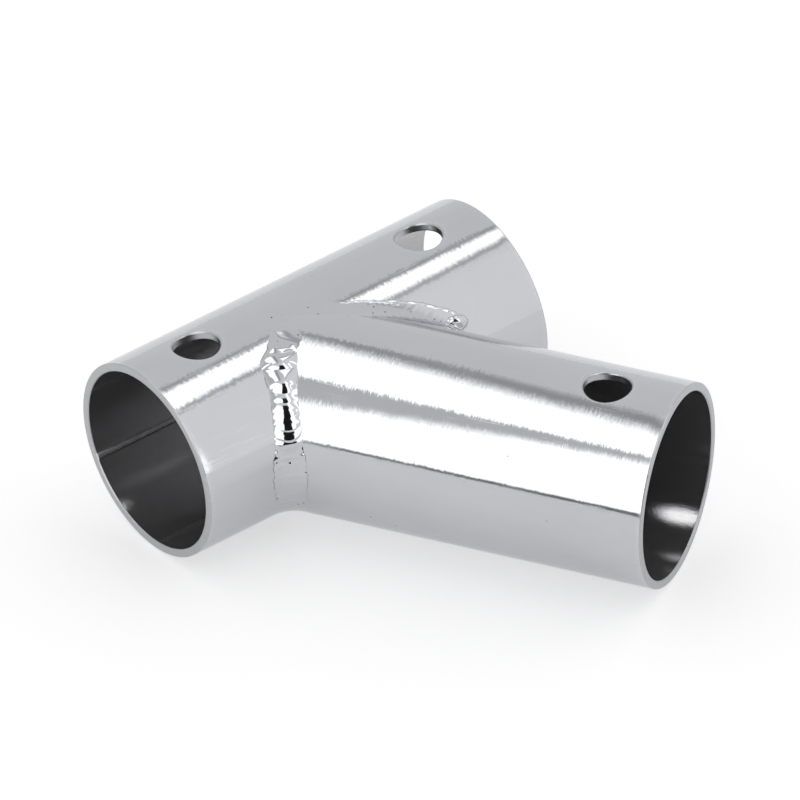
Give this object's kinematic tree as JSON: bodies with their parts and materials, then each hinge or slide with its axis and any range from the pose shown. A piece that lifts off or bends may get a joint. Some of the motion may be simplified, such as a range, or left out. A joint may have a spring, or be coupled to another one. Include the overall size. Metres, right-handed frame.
{
  "type": "angled tee sleeve fitting",
  "caption": "Welded angled tee made of round tube, with open sleeve ends for rail tubes and a screw hole near each end.",
  "frame": {"origin": "where the axes of the run tube and the branch tube cross", "axes": "+X along the run tube towards its long arm, -Y towards the branch's side, +Z the way the screw holes face"},
  "size_m": [0.0623, 0.0707, 0.0283],
  "materials": {
    "polished_tube": "polished stainless steel with fine hairlines",
    "weld_metal": "bright stainless weld metal, rippled and partly dressed"
  },
  "bodies": {
    "root": {"run_tube": "polished_tube", "branch_tube": "polished_tube", "weld_bead": "weld_metal"}
  },
  "joints": []
}
